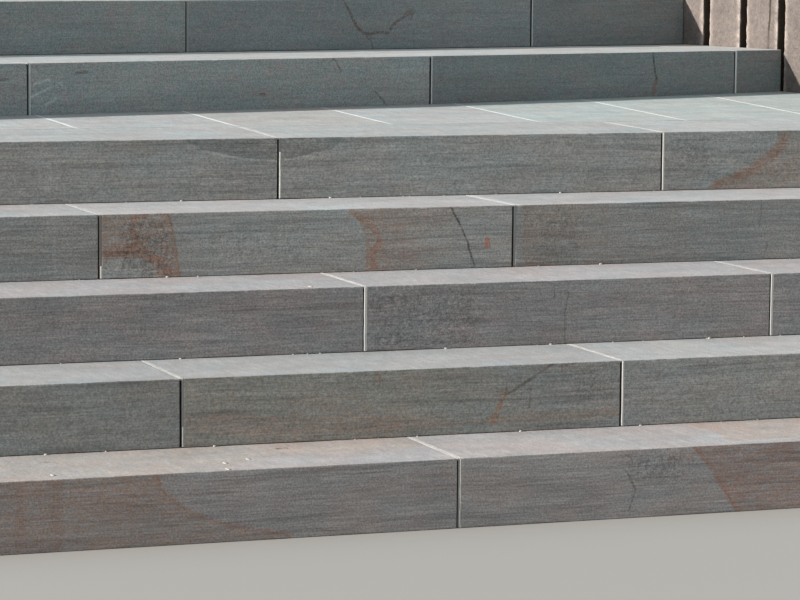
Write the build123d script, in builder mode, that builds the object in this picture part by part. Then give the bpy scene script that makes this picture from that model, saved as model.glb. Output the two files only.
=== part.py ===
from build123d import *
from itertools import accumulate
from math import ceil, cos, floor, radians, sin, tan
import os

# Steps, all sizes in millimetres
rise = 150.0
going = 307.0
lower_steps = 5
block_depth = 350.0
block_pitch = 1029.0
joint = 8.0
joint_recess = 2.0
arris = 3.0
first_joints = [530.0, 1041.0, 537.0, 1027.0, 532.0]

# Landing behind the top block of the lower flight, falling forward a little
landing_block_depth = 375.0
landing_left = 552.0
landing_fall = 0.8
landing_joint_lean = 2.2
leaning_joint = 1
slab_thickness = 60.0
slab_butt = 2.0
slab_first = 317.0
slab_pitch = 419.0
slab_taper = 1.1
square_slab_joint = 1

# Upper flight, turned about its left front corner
turn = 14.0
upper_length = 3781.0
upper_going = 490.0
upper_lap = 43.0
top_depth = 400.0
step_6_blocks = [183.0, 1130.0, 1289.0]
step_7_blocks = [605.0, 1236.0, 1236.0]
shortest_block = 150.0

# Palisade of upright stones along the right-hand end, turned a little less than the upper flight
wall_turn = 12.7
stone_width = 154.0
stone_gap = 30.0
stone_thickness = 150.0
stone_edge = 8.0
stone_clearance = 0.3
first_gap = 8.0
wall_height = 400.0

# Places worked out from the sizes above
landing_level = lower_steps * rise
landing_front = (lower_steps - 1) * going
slab_front = landing_front + landing_block_depth
upper_front = landing_front + landing_left
upper_back = upper_going + top_depth
slab_slope = tan(radians(landing_fall))


def plan_point(along, back):
    """A point of the upper flight, in the plan of the lower flight."""
    x = along * cos(radians(turn)) - back * sin(radians(turn))
    y = along * sin(radians(turn)) + back * cos(radians(turn)) + upper_front
    return Vector(x, y)


def wall_point(out, back):
    """A point of the palisade, from its face at the upper flight's front, in the plan of the lower flight."""
    start = plan_point(upper_length, 0)
    x = start.X + out * cos(radians(wall_turn)) - back * sin(radians(wall_turn))
    y = start.Y + out * sin(radians(wall_turn)) + back * cos(radians(wall_turn))
    return Vector(x, y)


# The palisade runs from the back of the upper flight to the foot of the lowest riser
wall_lean = turn - wall_turn
stone_pitch = stone_width + stone_gap
stones_behind = ceil((upper_back - first_gap) / stone_pitch)
stones_ahead = floor((wall_point(0, 0).Y / cos(radians(wall_turn)) + first_gap) / stone_pitch)
wall_outside = stone_clearance + stone_thickness
wall_back = first_gap - stone_gap / 2 + stones_behind * stone_pitch
wall_front = first_gap + stone_gap / 2 - stones_ahead * stone_pitch

# The origin is under the middle of the whole plan, on the ground
left_edge = plan_point(0, upper_back).X
right_edge = wall_point(wall_outside, wall_front).X
steps_back = wall_point(0, upper_back / cos(radians(wall_lean))).Y
back_edge = max(wall_point(wall_outside, wall_back).Y, steps_back)
plan_centre = Vector((left_edge + right_edge) / 2, back_edge / 2)
lower = Plane(origin=-plan_centre)
corner = lower.from_local_coords(Vector(0, upper_front, 0))
upper = Plane(origin=corner, x_dir=(cos(radians(turn)), sin(radians(turn)), 0))
front_face = Plane(origin=corner, x_dir=upper.x_dir, z_dir=-upper.y_dir)
wall_start = upper.from_local_coords((upper_length, 0, 0))
wall = Plane(origin=wall_start, x_dir=upper.x_dir.rotate(Axis.Z, -wall_lean))
end_face = Plane(origin=wall_start, x_dir=wall.y_dir, z_dir=wall.x_dir)
past_end = wall_point(0, wall_front).X + block_pitch

os.makedirs("parts", exist_ok=True)


def save(name, piece):
    """Label a finished piece and write it under its node's name."""
    piece.part.label = name
    export_step(piece.part, f"parts/{name}.step")


def side_plane(flight, along, back, level, lean=0.0):
    """The upright plane across a flight that its side profiles are drawn on, leaning to the right going back."""
    origin = flight.from_local_coords((along, back, level))
    across = flight.y_dir.rotate(Axis.Z, -lean)
    return Plane(origin=origin, x_dir=across, z_dir=flight.x_dir.rotate(Axis.Z, -lean))


def section(depth, slope, setback):
    """The side profile of a block, its front and its top drawn in by the setback."""
    front_top = rise - setback + setback * slope
    back_top = rise - setback + depth * slope
    corners = [(setback, 0), (depth, 0), (depth, back_top), (setback, front_top)]
    Polygon(*corners, align=(Align.NONE, Align.NONE))


def save_block(name, flight, start, end, front, level, depth, slope):
    """One block of a step between two upright planes, with its upper front arris eased."""
    with BuildPart() as block:
        with BuildSketch(side_plane(flight, -joint, front, level)) as profile:
            section(depth, slope, 0)
            fillet(profile.vertices().sort_by_distance((0, rise))[0], arris)
        extrude(amount=past_end)
        split(bisect_by=start, keep=Keep.TOP)
        split(bisect_by=end, keep=Keep.BOTTOM)
        split(bisect_by=end_face, keep=Keep.BOTTOM)
    save(name, block)


def add_joint(flight, along, lean, front, level, depth, slope):
    """The mortar between two blocks, set back a little from the riser and the tread."""
    with BuildSketch(side_plane(flight, along, front, level, lean).offset(-joint / 2)) as profile:
        section(depth, slope, joint_recess)
    extrude(profile.sketch, amount=joint)


def save_step(number, flight, joints, front, level, *shape):
    """All the blocks of one step, from the left-hand end to the wall."""
    middles = [side_plane(flight, along, front, level, lean) for along, lean in joints]
    starts = [side_plane(flight, 0, front, level)] + [middle.offset(joint / 2) for middle in middles]
    ends = [middle.offset(-joint / 2) for middle in middles] + [end_face]
    for index, (start, end) in enumerate(zip(starts, ends), start=1):
        save_block(f"step_{number}_block_{index}", flight, start, end, front, level, *shape)


def wall_reach(back):
    """How far along the lower flight the wall's face stands, at a distance behind the first riser."""
    start = wall_point(0, 0)
    return start.X + (start.Y - back) * tan(radians(wall_turn))


def lower_row(number):
    """Joints with their lean, front, level, depth and slope of a lower step, the blocks in a half bond."""
    front = number * going
    at_landing = number == lower_steps - 1
    room = wall_reach(front + block_depth) - shortest_block - first_joints[number]
    places = [first_joints[number] + index * block_pitch for index in range(floor(room / block_pitch) + 1)]
    leans = [landing_joint_lean if at_landing and index == leaning_joint else 0.0 for index in range(len(places))]
    depth = landing_block_depth if at_landing else block_depth
    return list(zip(places, leans)), front, number * rise, depth, slab_slope if at_landing else 0.0


def joints_from_wall(lengths, back):
    """Joints of an upper step, set out from the wall, where the closer block is."""
    wall_along = upper_length + back * tan(radians(wall_lean))
    places = [wall_along - reach for reach in accumulate(lengths)]
    return sorted((along, 0.0) for along in places if along > shortest_block)


# Lower flight of block steps, and the two steps of the upper flight
lower_rows = [lower_row(number) for number in range(lower_steps)]
step_6_joints = joints_from_wall(step_6_blocks, 0)
step_7_joints = joints_from_wall(step_7_blocks, upper_going)
upper_rows = [
    (step_6_joints, 0.0, landing_level, upper_going + upper_lap, 0.0),
    (step_7_joints, upper_going, landing_level + rise, top_depth, 0.0),
]
for number, row in enumerate(lower_rows, start=1):
    save_step(number, lower, *row)
for number, row in enumerate(upper_rows, start=lower_steps + 1):
    save_step(number, upper, *row)

# Mortar in the upright joints of each flight
with BuildPart() as lower_joints:
    for joints, *place in lower_rows:
        for along, lean in joints:
            add_joint(lower, along, lean, *place)
save("lower_flight_joints", lower_joints)

with BuildPart() as upper_joints:
    for joints, *place in upper_rows:
        for along, lean in joints:
            add_joint(upper, along, lean, *place)
save("upper_flight_joints", upper_joints)

# Landing slabs, level with the top block and falling forward with it, their joints fanning out
landing_edge = landing_level + landing_block_depth * slab_slope
landing = Plane(origin=lower.from_local_coords((0, slab_front, landing_edge)))
landing = landing.rotated((landing_fall, 0, 0))
landing_reach = upper_length + going


def landing_plate():
    """The wedge between the two flights, down to the underside of the slabs."""
    with BuildSketch(landing) as plan:
        with Locations((0, slab_butt)):
            Rectangle(past_end, landing_reach, align=(Align.MIN, Align.MIN))
    extrude(plan.sketch, amount=-slab_thickness)
    split(bisect_by=front_face.offset(slab_butt), keep=Keep.TOP)
    split(bisect_by=end_face, keep=Keep.BOTTOM)


def joint_strips(mode):
    """The fan of slab joints, each turned a little more than the one to its left, and one of them square."""
    with BuildSketch(landing) as fan_lines:
        for index in range(floor((upper_length - slab_first) / slab_pitch) + 1):
            with Locations((slab_first + index * slab_pitch, 0)):
                Rectangle(joint, 2 * landing_reach, rotation=slab_taper * (square_slab_joint - index))
    extrude(fan_lines.sketch, amount=-slab_thickness, mode=mode)


with BuildPart() as landing_slabs:
    landing_plate()
    joint_strips(Mode.SUBTRACT)
save("landing_slabs", landing_slabs)

with BuildPart() as landing_joints:
    landing_plate()
    joint_strips(Mode.INTERSECT)
save("landing_joints", landing_joints)

# Concrete bed, stepped under the blocks of each flight
with BuildPart() as lower_bed:
    with BuildSketch(side_plane(lower, 0, 0, 0)):
        with BuildLine():
            profile = [(block_depth, 0)]
            for number in range(1, lower_steps):
                profile.append((profile[-1][0], number * rise))
                profile.append((number * going + block_depth, number * rise))
            profile[-1] = (slab_front, (lower_steps - 1) * rise)
            slab_underside = landing_edge - slab_thickness / cos(radians(landing_fall))
            profile.append((slab_front, slab_underside))
            far = upper_front + landing_reach
            profile.append((far, slab_underside + (far - slab_front) * slab_slope))
            profile.append((far, 0))
            Polyline(*profile, close=True)
        make_face()
    extrude(amount=past_end)
    split(bisect_by=front_face, keep=Keep.TOP)
    split(bisect_by=end_face, keep=Keep.BOTTOM)
save("lower_concrete_bed", lower_bed)

with BuildPart() as upper_bed:
    with BuildSketch(side_plane(upper, 0, 0, 0)):
        Rectangle(upper_back, landing_level, align=(Align.MIN, Align.MIN))
        with Locations((upper_back, 0)):
            back_width = upper_back - upper_going - upper_lap
            Rectangle(back_width, landing_level + rise, align=(Align.MAX, Align.MIN))
    extrude(amount=past_end)
    split(bisect_by=end_face, keep=Keep.BOTTOM)
save("upper_concrete_bed", upper_bed)


def tread_level(back):
    """The height of the tread beside a place along the palisade."""
    if back >= upper_going:
        return landing_level + 2 * rise
    if back >= 0:
        return landing_level + rise
    step = floor(wall_point(0, back).Y / going) + 1
    return min(step, lower_steps) * rise


def add_stones(first, count):
    """Upright stones side by side, each as tall as the steps beside it need."""
    for index in range(count):
        back = first + index * stone_pitch
        foot = wall.from_local_coords((stone_clearance, back, 0))
        height = tread_level(back + stone_width / 2) + wall_height
        with BuildSketch(Plane(origin=foot, x_dir=wall.x_dir)) as section:
            Rectangle(stone_thickness, stone_width, align=(Align.MIN, Align.MIN))
            chamfer(section.vertices(), stone_edge)
        extrude(section.sketch, amount=height)


with BuildPart() as lower_palisade:
    add_stones(wall_front, stones_ahead)
save("lower_palisade", lower_palisade)

with BuildPart() as upper_palisade:
    add_stones(first_gap + stone_gap / 2, stones_behind)
save("upper_palisade", upper_palisade)
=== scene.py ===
import math
from itertools import product

import bmesh
import bpy
import numpy as np
from mathutils import Matrix, Vector


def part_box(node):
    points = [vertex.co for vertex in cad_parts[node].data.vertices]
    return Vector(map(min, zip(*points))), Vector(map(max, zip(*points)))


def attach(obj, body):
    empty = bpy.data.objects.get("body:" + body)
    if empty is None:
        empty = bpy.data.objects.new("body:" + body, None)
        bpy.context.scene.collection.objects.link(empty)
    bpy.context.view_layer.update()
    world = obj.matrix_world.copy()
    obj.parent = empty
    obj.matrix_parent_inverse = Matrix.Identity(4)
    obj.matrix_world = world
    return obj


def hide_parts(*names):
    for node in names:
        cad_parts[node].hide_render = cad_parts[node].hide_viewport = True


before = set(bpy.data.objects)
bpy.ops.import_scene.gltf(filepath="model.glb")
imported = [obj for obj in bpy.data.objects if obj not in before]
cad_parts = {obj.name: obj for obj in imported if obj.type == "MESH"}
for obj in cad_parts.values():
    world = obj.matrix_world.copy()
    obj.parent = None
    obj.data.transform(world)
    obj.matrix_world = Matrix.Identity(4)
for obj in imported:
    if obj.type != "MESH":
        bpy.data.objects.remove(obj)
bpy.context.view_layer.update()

# Lengths are in metres. A flight's own axes run along it, back into it and up.
TURN, WALL_TURN = math.radians(14.0), math.radians(12.7)
UPPER_LENGTH = 3.781
LOWER_STEPS = 5
RISE = 0.15
LOWER_GOING, UPPER_GOING = 0.307, 0.49


def turned(points, angle):
    """Points turned about the vertical axis."""
    c, s = math.cos(angle), math.sin(angle)
    return points @ np.array([[c, s, 0.0], [-s, c, 0.0], [0.0, 0.0, 1.0]])


def to_flight(points, flight):
    """Points of the frame in a flight's own axes: along, back, up."""
    origin, angle = flight
    return turned(np.asarray(points, float) - origin, -angle)


def to_frame(points, flight):
    """Points in a flight's own axes brought back into the frame."""
    origin, angle = flight
    return turned(np.asarray(points, float), angle) + origin


# Origin and turn of the flights and the palisade
corner = min((v.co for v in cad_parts["step_6_block_1"].data.vertices), key=lambda co: co.y)
LOWER = (np.array(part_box("step_1_block_1")[0]), 0.0)
UPPER = (np.array([corner.x, corner.y, 0.0]), TURN)
WALL = (to_frame(np.array([UPPER_LENGTH, 0.0, 0.0]), UPPER), WALL_TURN)


def flight_of(step):
    """The flight a step belongs to, and where its riser stands in it."""
    if step <= LOWER_STEPS:
        return LOWER, (step - 1) * LOWER_GOING
    return UPPER, (step - 1 - LOWER_STEPS) * UPPER_GOING


def node_points(name, flight):
    """A CAD node's vertices in a flight's axes."""
    return to_flight([v.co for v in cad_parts[name].data.vertices], flight)


def joined_mesh(name):
    """A CAD node's mesh with its faces joined up."""
    mesh = bmesh.new()
    mesh.from_mesh(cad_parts[name].data)
    bmesh.ops.remove_doubles(mesh, verts=mesh.verts, dist=1e-5)
    bmesh.ops.dissolve_limit(mesh, angle_limit=math.radians(0.3), verts=mesh.verts, edges=mesh.edges)
    return mesh


def solids(name, flight):
    """The vertices of each solid of a CAD node, in a flight's axes."""
    mesh = joined_mesh(name)
    left = set(mesh.verts)
    groups = []
    while left:
        waiting = [left.pop()]
        group = []
        while waiting:
            vertex = waiting.pop()
            group.append(tuple(vertex.co))
            near = {edge.other_vert(vertex) for edge in vertex.link_edges} & left
            left -= near
            waiting += near
        groups.append(to_flight(group, flight))
    mesh.free()
    return sorted(groups, key=lambda group: tuple(group.mean(axis=0).round(3)))


def put(name, data):
    """An object for its data, in the scene."""
    thing = bpy.data.objects.new(name, data)
    bpy.context.scene.collection.objects.link(thing)
    return thing


# Camera, at the photo's angle
CAMERA_PLACE = (-0.9311, -6.3293, 1.2544)
YAW, PITCH, ROLL = (math.radians(angle) for angle in (-20.3956, 6.4592, 0.4823))
data = bpy.data.cameras.new("camera")
data.lens, data.sensor_width, data.clip_end = 146.93, 36.0, 500.0
camera = put("camera", data)
aim = Matrix.Rotation(YAW, 4, "Z") @ Matrix.Rotation(math.pi / 2 - PITCH, 4, "X")
aim = aim @ Matrix.Rotation(ROLL, 4, "Z")
camera.matrix_world = Matrix.Translation(Vector(LOWER[0]) + Vector(CAMERA_PLACE)) @ aim
bpy.context.scene.camera = camera

# Large numbers that mix a cell's place and the seed
MIXERS = (374761393, 668265263, 1274126177, 974634777)
MIXER = 1103515245


def noise(points, seed):
    """Smooth noise from 0 to 1, one cell to a unit."""
    cell = np.floor(points).astype(np.int64)
    part = points - cell
    part = part * part * (3 - 2 * part)
    total = np.zeros(len(points))
    for corner in product((0, 1), repeat=3):
        x, y, z = (cell + np.array(corner)).T
        mixed = sum(number * mixer for number, mixer in zip((x, y, z, seed), MIXERS)) & 0xFFFFFFFF
        mixed = ((mixed ^ (mixed >> 13)) * MIXER) & 0xFFFFFFFF
        value = ((mixed ^ (mixed >> 16)) & 0xFFFF) / 65535.0
        total += value * np.prod(np.where(np.array(corner) == 1, part, 1 - part), axis=1)
    return total


# Cuts along a rounded arris, as shares of its radius
ARRIS_CUTS = (0.0, 0.3, 0.65, 1.0, 1.8)


def ruler(length, step, edge):
    """Places along an edge, close together at its two rounded ends."""
    lead = [share * edge for share in ARRIS_CUTS]
    count = max(1, round((length - 2 * lead[-1]) / step))
    middle = np.linspace(lead[-1], length - lead[-1], count + 1)
    return np.concatenate([lead[:-1], middle, [length - d for d in reversed(lead[:-1])]])


def shell(nx, ny, nz, plain):
    """The faces of a box on a grid; a side named in plain is one face."""
    inside = np.ones((nx, ny, nz), bool)
    inside[1:-1, 1:-1, 1:-1] = False
    index = np.full((nx, ny, nz), -1)
    index[inside] = np.arange(inside.sum())
    sides = {
        "bottom": (index[:, :, 0], True), "top": (index[:, :, -1], False),
        "front": (index[:, 0, :], False), "back": (index[:, -1, :], True),
        "left": (index[0], True), "right": (index[-1], False),
    }
    faces, smooth = [], []
    for name, (grid, flip) in sides.items():
        if name in plain:
            ring = np.concatenate([grid[:-1, 0], grid[-1, :-1], grid[:0:-1, -1], grid[0, :0:-1]])
            new = [list(map(int, ring[::-1] if flip else ring))]
        else:
            quads = np.stack([grid[:-1, :-1], grid[1:, :-1], grid[1:, 1:], grid[:-1, 1:]], -1).reshape(-1, 4)
            new = (quads[:, ::-1] if flip else quads).tolist()
        faces += new
        smooth += [name not in plain] * len(new)
    return np.argwhere(inside), faces, smooth


def rounded_box(size, steps, edge, plain=(), wear=None):
    """A box with rounded arrises: its points, outward directions and faces, from the origin."""
    rulers = [ruler(length, step, edge) for length, step in zip(size, steps)]
    places, faces, smooth = shell(*(len(r) for r in rulers), plain)
    points = np.stack([r[places[:, i]] for i, r in enumerate(rulers)], -1)
    radius = np.full(len(points), edge) if wear is None else wear(points)
    inner = np.clip(points, radius[:, None], np.array(size) - radius[:, None])
    out = points - inner
    out /= np.linalg.norm(out, axis=1, keepdims=True)
    return inner + out * radius[:, None], out, faces, smooth


class Build:
    """Several closed shapes gathered into one mesh."""

    def __init__(self):
        self.points, self.faces, self.smooth, self.tones = [], [], [], []
        self.count = 0

    def add(self, points, faces, smooth, tones):
        """One more shape, with one tone or one for each vertex."""
        self.points.append(np.asarray(points))
        self.faces += [[i + self.count for i in face] for face in faces]
        self.smooth += list(smooth)
        self.tones.append(np.broadcast_to(np.asarray(tones, float), (len(points), 3)))
        self.count += len(points)

    def piece(self, name, material, slot, stands_for=()):
        """The mesh object of all the shapes."""
        points = np.concatenate(self.points)
        made = make_piece(name, points, self.faces, self.smooth, material, stands_for)
        paint(made, "tone", np.concatenate(self.tones))
        return made


def show_piece(name, mesh, material, stands_for=()):
    """An object for a mesh that rides on the one body."""
    mesh.materials.append(material)
    piece = put(name, mesh)
    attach(piece, "root")
    if stands_for:
        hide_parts(*stands_for)
    return piece


def make_piece(name, points, faces, smooth, material, stands_for=()):
    """A mesh object from its points and faces."""
    mesh = bpy.data.meshes.new(name)
    mesh.from_pydata(np.asarray(points).tolist(), [], faces)
    mesh.polygons.foreach_set("use_smooth", smooth)
    mesh.update()
    return show_piece(name, mesh, material, stands_for)


def paint(piece, name, values):
    """A number or a colour kept at each vertex for the material."""
    values = np.asarray(values, float)
    if values.ndim == 1:
        layer = piece.data.attributes.new(name, "FLOAT", "POINT")
        layer.data.foreach_set("value", values.astype(np.float32))
    else:
        layer = piece.data.attributes.new(name, "FLOAT_COLOR", "POINT")
        colours = np.concatenate([values, np.ones((len(values), 1))], axis=1)
        layer.data.foreach_set("color", colours.astype(np.float32).ravel())


def paint_all(piece, values):
    """Numbers or tones that are the same at every vertex."""
    count = len(piece.data.vertices)
    for name, value in values.items():
        paint(piece, name, np.tile(value, (count, 1)) if isinstance(value, tuple) else np.full(count, value))


# Materials
class Paint:
    """A material and its nodes, made one at a time."""

    def __init__(self, name):
        self.material = bpy.data.materials.new(name)
        self.material.use_nodes = True
        self.tree = self.material.node_tree
        self.shader = self.tree.nodes["Principled BSDF"]
        self.place = self.add("ShaderNodeTexCoord").outputs["Object"]

    def add(self, kind, inputs=(), **settings):
        """A node with its settings and inputs."""
        node = self.tree.nodes.new(kind)
        for key, value in settings.items():
            setattr(node, key, value)
        for key, value in dict(inputs).items():
            self.set(node.inputs[key], value)
        return node

    def set(self, socket, value):
        """A link or a number on an input."""
        if isinstance(value, bpy.types.NodeSocket):
            self.tree.links.new(value, socket)
        else:
            socket.default_value = value

    def math(self, operation, *values):
        return self.add("ShaderNodeMath", enumerate(values), operation=operation).outputs[0]

    def vector(self, operation, *values):
        return self.add("ShaderNodeVectorMath", enumerate(values), operation=operation).outputs[0]

    def range(self, value, low, high, to_low=0.0, to_high=1.0):
        """A value taken smoothly from one range to another."""
        inputs = enumerate((value, low, high, to_low, to_high))
        return self.add("ShaderNodeMapRange", inputs, interpolation_type="SMOOTHSTEP").outputs[0]

    def noise(self, scale, detail=3, roughness=0.6, place=None):
        """Noise with its own scale along each axis, in cells per metre."""
        inputs = {"Vector": place or self.place, "Scale": scale}
        stretched = self.add("ShaderNodeMapping", inputs).outputs[0]
        inputs = {"Vector": stretched, "Scale": 1.0, "Detail": detail, "Roughness": roughness}
        return self.add("ShaderNodeTexNoise", inputs).outputs["Fac"]

    def scaled(self, colour, factor):
        return self.add("ShaderNodeVectorMath", {0: colour, "Scale": factor}, operation="SCALE").outputs[0]

    def mix(self, factor, first, second):
        return self.add("ShaderNodeMix", {0: factor, 6: first, 7: second}, data_type="RGBA").outputs[2]

    def kept(self, name, output="Fac"):
        """What is kept at the vertices under a name."""
        return self.add("ShaderNodeAttribute", attribute_name=name).outputs[output]

    def upward(self):
        """One on a surface that faces up, nought on one that stands."""
        normal = self.add("ShaderNodeNewGeometry").outputs["Normal"]
        return self.range(self.add("ShaderNodeSeparateXYZ", {0: normal}).outputs["Z"], 0.5, 0.85)

    def about_one(self, value, amount):
        """One plus the noise's part either side of its middle."""
        return self.math("MULTIPLY_ADD", value, 2 * amount, 1 - amount)

    def plus(self, value, factor, offset):
        """A value times a factor, and an offset more."""
        return self.math("MULTIPLY_ADD", value, factor, offset)

    def product(self, *values):
        result = values[0]
        for value in values[1:]:
            result = self.math("MULTIPLY", result, value)
        return result

    def finish(self, colour, roughness, height=None, relief=0.001):
        """The material with its colour, roughness and relief."""
        self.set(self.shader.inputs["Base Color"], colour)
        self.set(self.shader.inputs["Roughness"], roughness)
        if height is not None:
            bump = self.add("ShaderNodeBump", {"Height": height, "Distance": relief, "Strength": 1.0})
            self.set(self.shader.inputs["Normal"], bump.outputs[0])
        return self.material


# How deeply chipped the tooled places are, and how strong their flecks of painted light and shade are
TOOLED_DEPTH, TOOLED_PAINTED_LIGHT = 9.0, 1.4


def stone_material(name):
    """Sawn sandstone: level bedding lines on risers, smooth treads, iron stains and veins."""
    p = Paint(name)
    flat = p.upward()
    steady = p.math("SUBTRACT", 1, flat)
    wave = p.plus(p.noise((3, 3, 5), 2, 0.5), 0.014, -0.007)
    lift = p.add("ShaderNodeCombineXYZ", {2: wave}).outputs[0]
    bent = p.vector("ADD", p.place, lift)
    bedding = p.noise((5, 5, 135), 3, 0.7, bent)
    saw = p.noise((14, 14, 330), 2, 0.6, bent)
    bands = p.noise((1.3, 1.3, 30), 3, 0.55, bent)
    lines = p.range(p.noise((2.6, 2.6, 100), 2, 0.5, bent), 0.57, 0.66)
    pits = p.noise((80, 80, 110), 4, 0.7)
    grain = p.noise((230, 230, 250), 3, 0.75)
    patches = p.noise((4, 4, 9), 4, 0.6)
    rough = p.range(p.noise((2.6, 2.6, 9)), 0.48, 0.64, 0.5, 6.0)
    sawn = p.product(p.about_one(bedding, 0.4), p.about_one(saw, 0.42), p.about_one(bands, 0.18))
    sawn = p.product(sawn, p.plus(lines, -0.18, 1))
    sawn = p.plus(p.math("SUBTRACT", sawn, 1.0), p.kept("sawn"), 1.0)
    # Flecks of painted light and shade on the tooled places, standing for their chisel relief under the low
    # key light
    relief_light = p.product(p.math("SUBTRACT", p.noise((85, 85, 105), 3, 0.7), 0.5), p.kept("tooled"))
    relief_lit = p.plus(relief_light, TOOLED_PAINTED_LIGHT, 1)
    rough_grain = p.product(p.about_one(pits, 0.16), p.about_one(grain, 1.05))
    standing = p.product(sawn, relief_lit, rough_grain, p.about_one(patches, 0.16))
    cloud = p.noise((6, 11, 7), 4, 0.6)
    fine = p.noise((60, 14, 60))
    specks = p.range(p.noise((150, 150, 150), 1, 0.5), 0.7, 0.78)
    lying = p.product(p.about_one(cloud, 0.28), p.about_one(fine, 0.26), p.about_one(grain, 0.7))
    lying = p.product(lying, p.plus(specks, 0.12, 1))
    colour = p.mix(flat, p.kept("tone", "Color"), p.kept("tread_tone", "Color"))
    shade = p.math("ADD", p.product(lying, flat), p.product(standing, steady))
    colour = p.scaled(colour, shade)
    hue = p.plus(p.noise((6, 6, 16)), 0.6, p.product(grain, 0.4))
    hue = p.mix(p.range(hue, 0.38, 0.62), (0.955, 1.01, 1.03, 1), (1.045, 0.99, 0.97, 1))
    colour = p.vector("MULTIPLY", colour, hue)
    mottle = p.product(p.range(p.noise((38, 38, 50), 2, 0.6), 0.52, 0.66), p.kept("mottled"), steady)
    colour = p.mix(mottle, colour, p.vector("MULTIPLY", colour, (1.1, 0.96, 0.97)))
    # Iron stains, streaked along the bedding and deeper at their rims
    ragged = p.plus(p.noise((35, 35, 90)), 0.012, -0.006)
    depth = p.math("ADD", p.kept("stain"), ragged)
    rim = p.range(depth, 0.02, 0.002, 0.0, 0.45)
    streaks = p.range(p.noise((32, 32, 80), 6, 0.85, bent), 0.4, 0.58, 0.15, 1.15)
    strength = p.math("MINIMUM", p.math("ADD", streaks, rim), 1.1)
    strength = p.product(strength, p.range(depth, -0.001, 0.003), p.kept("stain_strength"))
    colour = p.mix(strength, colour, p.vector("MULTIPLY", colour, p.kept("stain_tone", "Color")))
    # Veins, cracks and scratches
    wander = p.plus(p.noise((70, 70, 70)), 0.006, -0.003)
    across = p.math("ABSOLUTE", p.math("ADD", p.kept("line"), wander))
    share = p.math("DIVIDE", across, p.kept("line_width"))
    broken = p.range(p.noise((70, 70, 120), 3, 0.7), 0.34, 0.6, 0.25, 1.0)
    vein = p.product(p.range(share, 1.25, 0.4), broken)
    colour = p.mix(vein, colour, p.vector("MULTIPLY", colour, p.kept("line_tone", "Color")))
    height = p.product(p.math("ADD", pits, p.product(bedding, 0.4)), rough, steady)
    height = p.plus(grain, 0.3, height)
    height = p.plus(vein, -0.5, height)
    # Tooled places are chipped
    chipped = p.range(p.noise((75, 75, 95)), 0.4, 0.62)
    height = p.plus(p.product(chipped, p.kept("tooled"), steady), TOOLED_DEPTH, height)
    return p.finish(colour, p.plus(grain, 0.15, 0.72), height, relief=0.0003)


def mortar_material():
    """Pale cement mortar with sand in it."""
    p = Paint("mortar")
    sand = p.noise((600, 600, 600), 2, 0.7)
    wear = p.noise((18, 18, 18), 4, 0.6)
    tone = p.product(p.about_one(sand, 0.25), p.about_one(wear, 0.2))
    return p.finish(p.scaled(p.kept("tone", "Color"), tone), 0.9, sand, relief=0.0006)


def concrete_material():
    """Rough grey concrete with small holes."""
    p = Paint("concrete")
    cloud = p.noise((3, 3, 4), 5, 0.65)
    lifts = p.noise((0.5, 0.5, 14))
    sand = p.noise((260, 260, 260), 3, 0.65)
    holes = p.range(p.noise((60, 60, 60), 1, 0.5), 0.7, 0.76)
    pits = p.plus(holes, -0.5, 1)
    tone = p.product(p.about_one(cloud, 0.25), p.about_one(lifts, 0.12), p.about_one(sand, 0.2), pits)
    height = p.math("SUBTRACT", sand, p.product(holes, 3.0))
    return p.finish(p.scaled((0.34, 0.33, 0.31), tone), 0.93, height, relief=0.001)


def wall_material():
    """Rough beige stone of the palisade."""
    p = Paint("wall_stone")
    cloud = p.noise((14, 14, 10), 4, 0.6)
    mottle = p.noise((50, 50, 55), 4, 0.7)
    pitted = p.noise((150, 150, 150), 3, 0.7)
    specks = p.range(p.noise((420, 420, 420), 1, 0.5), 0.62, 0.72)
    dark = p.plus(specks, -0.2, 1)
    tone = p.product(p.about_one(cloud, 0.3), p.about_one(mottle, 0.5), p.about_one(pitted, 0.6), dark)
    colour = p.scaled(p.kept("tone", "Color"), tone)
    hue = p.mix(p.range(mottle, 0.35, 0.65), (0.985, 0.995, 1.02, 1), (1.03, 0.995, 0.96, 1))
    colour = p.vector("MULTIPLY", colour, hue)
    across = p.math("ADD", p.kept("line"), p.plus(mottle, 0.008, -0.004))
    share = p.math("DIVIDE", p.math("ABSOLUTE", across), p.kept("line_width"))
    crack = p.product(p.range(share, 1.2, 0.5), p.range(cloud, 0.3, 0.5, 0.3, 1.0))
    colour = p.mix(crack, colour, p.vector("MULTIPLY", colour, p.kept("line_tone", "Color")))
    height = p.plus(crack, -1.5, p.math("ADD", pitted, mottle))
    return p.finish(colour, 0.9, height, relief=0.0012)


STONE = stone_material("step_stone")
SLAB = stone_material("slab_stone")
MORTAR = mortar_material()
CONCRETE = concrete_material()
WALL_STONE = wall_material()

# Marks in the stone. Tones multiply its own. Places are in millimetres, along the step and up or back.
BROWN, RED, OLIVE = (0.99, 0.84, 0.76), (1.0, 0.77, 0.68), (1.01, 0.95, 0.86)
RUST, TAN, SHADE = (1.01, 0.73, 0.61), (0.99, 0.93, 0.84), (0.7, 0.73, 0.73)
DARK, BLACK = (0.62, 0.58, 0.55), (0.32, 0.3, 0.28)
CHALK, FAINT = (1.45, 1.45, 1.45), (1.2, 1.2, 1.2)
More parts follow.
